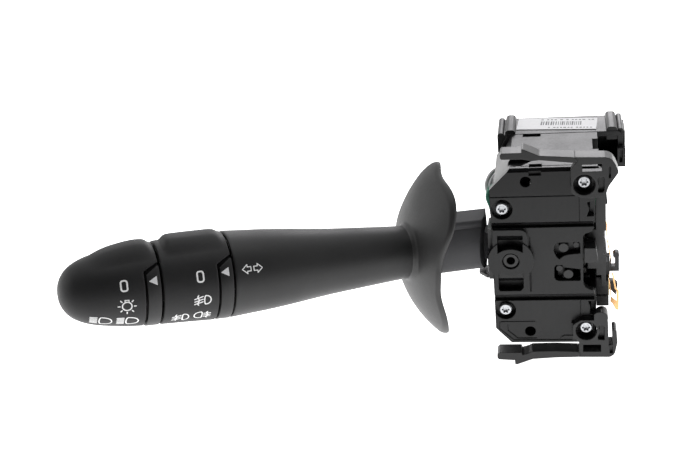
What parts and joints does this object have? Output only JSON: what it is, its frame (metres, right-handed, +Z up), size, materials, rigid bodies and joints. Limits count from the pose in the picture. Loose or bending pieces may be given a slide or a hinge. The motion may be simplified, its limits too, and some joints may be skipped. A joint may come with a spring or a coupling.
{
  "type": "combination stalk switch",
  "caption": "Steering column stalk switch: housing with latch clips, pull-and-tilt stalk with a leaf-shaped shield, a rotary light knob and a rotary fog lamp ring.",
  "frame": {"origin": "midway between the two locating holes, on the face of the front cover", "axes": "+Z up, +X from the stalk towards the steering column, -Y out of the front cover towards the driver"},
  "size_m": [0.1987, 0.1251, 0.0897],
  "materials": {
    "housing_black": "fine-textured moulded glass-filled plastic",
    "latch_black": "smooth moulded plastic",
    "inner_black": "moulded plastic",
    "carrier_black": "smooth moulded acetal",
    "arm_black": "fine-grained moulded plastic",
    "stalk_charcoal": "fine-grained soft-touch plastic",
    "shield_charcoal": "fine-grained plastic",
    "knob_charcoal": "fine-grained soft-touch plastic",
    "slider_natural": "natural acetal",
    "zinc_screw": "bright zinc plate",
    "steel_pin": "ground steel",
    "spring_steel": "drawn spring wire",
    "brass_contact": "stamped brass",
    "gold_contact": "plated spring bronze",
    "label_white": "blank printed film",
    "board_green": "epoxy board",
    "wire_white": "insulated wire",
    "wire_grey": "insulated wire",
    "wire_green": "insulated wire"
  },
  "bodies": {
    "housing": {"front_cover": "housing_black", "housing_shell": "housing_black", "rear_shell": "housing_black", "rear_cover_screws": "zinc_screw", "cover_screws": "zinc_screw", "upper_latch_bracket": "latch_black", "lower_latch_bracket": "latch_black", "side_contact_carrier": "inner_black", "wire_guide_hook": "inner_black", "contact_terminals": "brass_contact", "rating_label": "label_white", "contact_board": "board_green", "contact_tracks": "brass_contact", "connector_pins": "brass_contact", "detent_cam": "inner_black", "white_wire": "wire_white", "grey_wire": "wire_grey", "green_wire": "wire_green", "cancel_finger_pin": "steel_pin", "cancel_springs": "spring_steel"},
    "pivot_frame": {"pivot_carrier": "carrier_black", "pull_pivot_pin": "steel_pin"},
    "stalk": {"stalk_arm": "arm_black", "stalk_core_tube": "inner_black", "stalk_sleeve": "stalk_charcoal", "cowl_shield": "shield_charcoal", "fog_pointer_ring": "stalk_charcoal", "light_pointer_ring": "stalk_charcoal", "ring_contact_plate": "board_green", "knob_snap_ring": "spring_steel", "fog_detent_spring": "spring_steel", "light_detent_spring": "spring_steel", "stalk_detent_spring": "spring_steel"},
    "tail_detent": {"stalk_detent_plunger": "steel_pin"},
    "fog_detent": {"fog_detent_plunger": "steel_pin"},
    "light_detent": {"light_detent_plunger": "steel_pin"},
    "knob": {"light_knob": "knob_charcoal", "knob_contact_rotor": "brass_contact"},
    "front_ring": {"fog_ring": "knob_charcoal", "ring_contact_rotor": "brass_contact"},
    "slider_up_down": {"indicator_slider": "slider_natural", "indicator_wipers": "brass_contact"},
    "slider_to_fro": {"beam_slider": "slider_natural", "beam_wipers": "brass_contact"},
    "finger": {"cancel_finger": "inner_black"},
    "upper_latch": {"upper_latch_arm": "latch_black"},
    "lower_latch": {"lower_latch_arm": "latch_black"},
    "upper_blade": {"upper_contact_blade": "gold_contact"},
    "lower_blade": {"lower_contact_blade": "gold_contact"}
  },
  "joints": [
    {"name": "indicator_tilt", "type": "hinge", "parent": "housing", "child": "pivot_frame", "pos_m": [-0.0064, 0.0178, 0], "axis": [0, 1, 0], "range_deg": [-8, 8], "deforming": ["white_wire", "grey_wire", "green_wire"]},
    {"name": "beam_pull", "type": "hinge", "parent": "pivot_frame", "child": "stalk", "pos_m": [-0.0064, 0.0178, 0], "axis": [0, 0, 1], "range_deg": [0, 7], "stiffness_Nm_per_rad": 2},
    {"name": "light_knob_turn", "type": "hinge", "parent": "stalk", "child": "knob", "pos_m": [-0.0064, 0.0178, 0], "axis": [-0.8727, -0.4728, 0.1219], "range_deg": [0, 60]},
    {"name": "fog_ring_turn", "type": "hinge", "parent": "stalk", "child": "front_ring", "pos_m": [-0.0064, 0.0178, 0], "axis": [-0.8727, -0.4728, 0.1219], "range_deg": [0, 60]},
    {"name": "tail_detent_slide", "type": "slide", "parent": "stalk", "child": "tail_detent", "axis": [-1, 0, 0], "range_m": [0, 0.0015], "stiffness_N_per_m": 400, "deforming": ["stalk_detent_spring"]},
    {"name": "fog_detent_slide", "type": "slide", "parent": "stalk", "child": "fog_detent", "axis": [-0.8727, -0.4728, 0.1219], "range_m": [0, 0.0005], "stiffness_N_per_m": 300, "deforming": ["fog_detent_spring"]},
    {"name": "light_detent_slide", "type": "slide", "parent": "stalk", "child": "light_detent", "axis": [-0.8727, -0.4728, 0.1219], "range_m": [0, 0.0005], "stiffness_N_per_m": 300, "deforming": ["light_detent_spring"]},
    {"name": "indicator_slide", "type": "slide", "parent": "housing", "child": "slider_up_down", "axis": [0, 0, -1], "range_m": [-0.00315, 0.00315]},
    {"name": "beam_slide", "type": "slide", "parent": "housing", "child": "slider_to_fro", "axis": [0, 1, 0], "range_m": [0, 0.0033]},
    {"name": "cancel_finger_swing", "type": "hinge", "parent": "housing", "child": "finger", "pos_m": [0.0092, 0.0049, 0], "axis": [0, 1, 0], "range_deg": [-4, 4], "stiffness_Nm_per_rad": 0.05, "deforming": ["cancel_springs"]},
    {"name": "upper_latch_flex", "type": "hinge", "parent": "housing", "child": "upper_latch", "pos_m": [0.018, 0, 0.0405], "axis": [0, -1, 0], "range_deg": [0, 3], "stiffness_Nm_per_rad": 0.5},
    {"name": "lower_latch_flex", "type": "hinge", "parent": "housing", "child": "lower_latch", "pos_m": [0.018, 0, -0.04005], "axis": [0, 1, 0], "range_deg": [0, 3], "stiffness_Nm_per_rad": 0.5},
    {"name": "upper_blade_flex", "type": "hinge", "parent": "housing", "child": "upper_blade", "pos_m": [0.03075, 0.0239, -0.0208], "axis": [0, -1, 0], "range_deg": [0, 2], "stiffness_Nm_per_rad": 0.02},
    {"name": "lower_blade_flex", "type": "hinge", "parent": "housing", "child": "lower_blade", "pos_m": [0.03075, 0.0177, -0.0194], "axis": [0, 1, 0], "range_deg": [0, 3], "stiffness_Nm_per_rad": 0.02}
  ],
  "couplings": [
    {"joint": "indicator_slide", "follows": "indicator_tilt", "m_per_rad": 0.0224},
    {"joint": "beam_slide", "follows": "beam_pull", "m_per_rad": 0.0269}
  ]
}
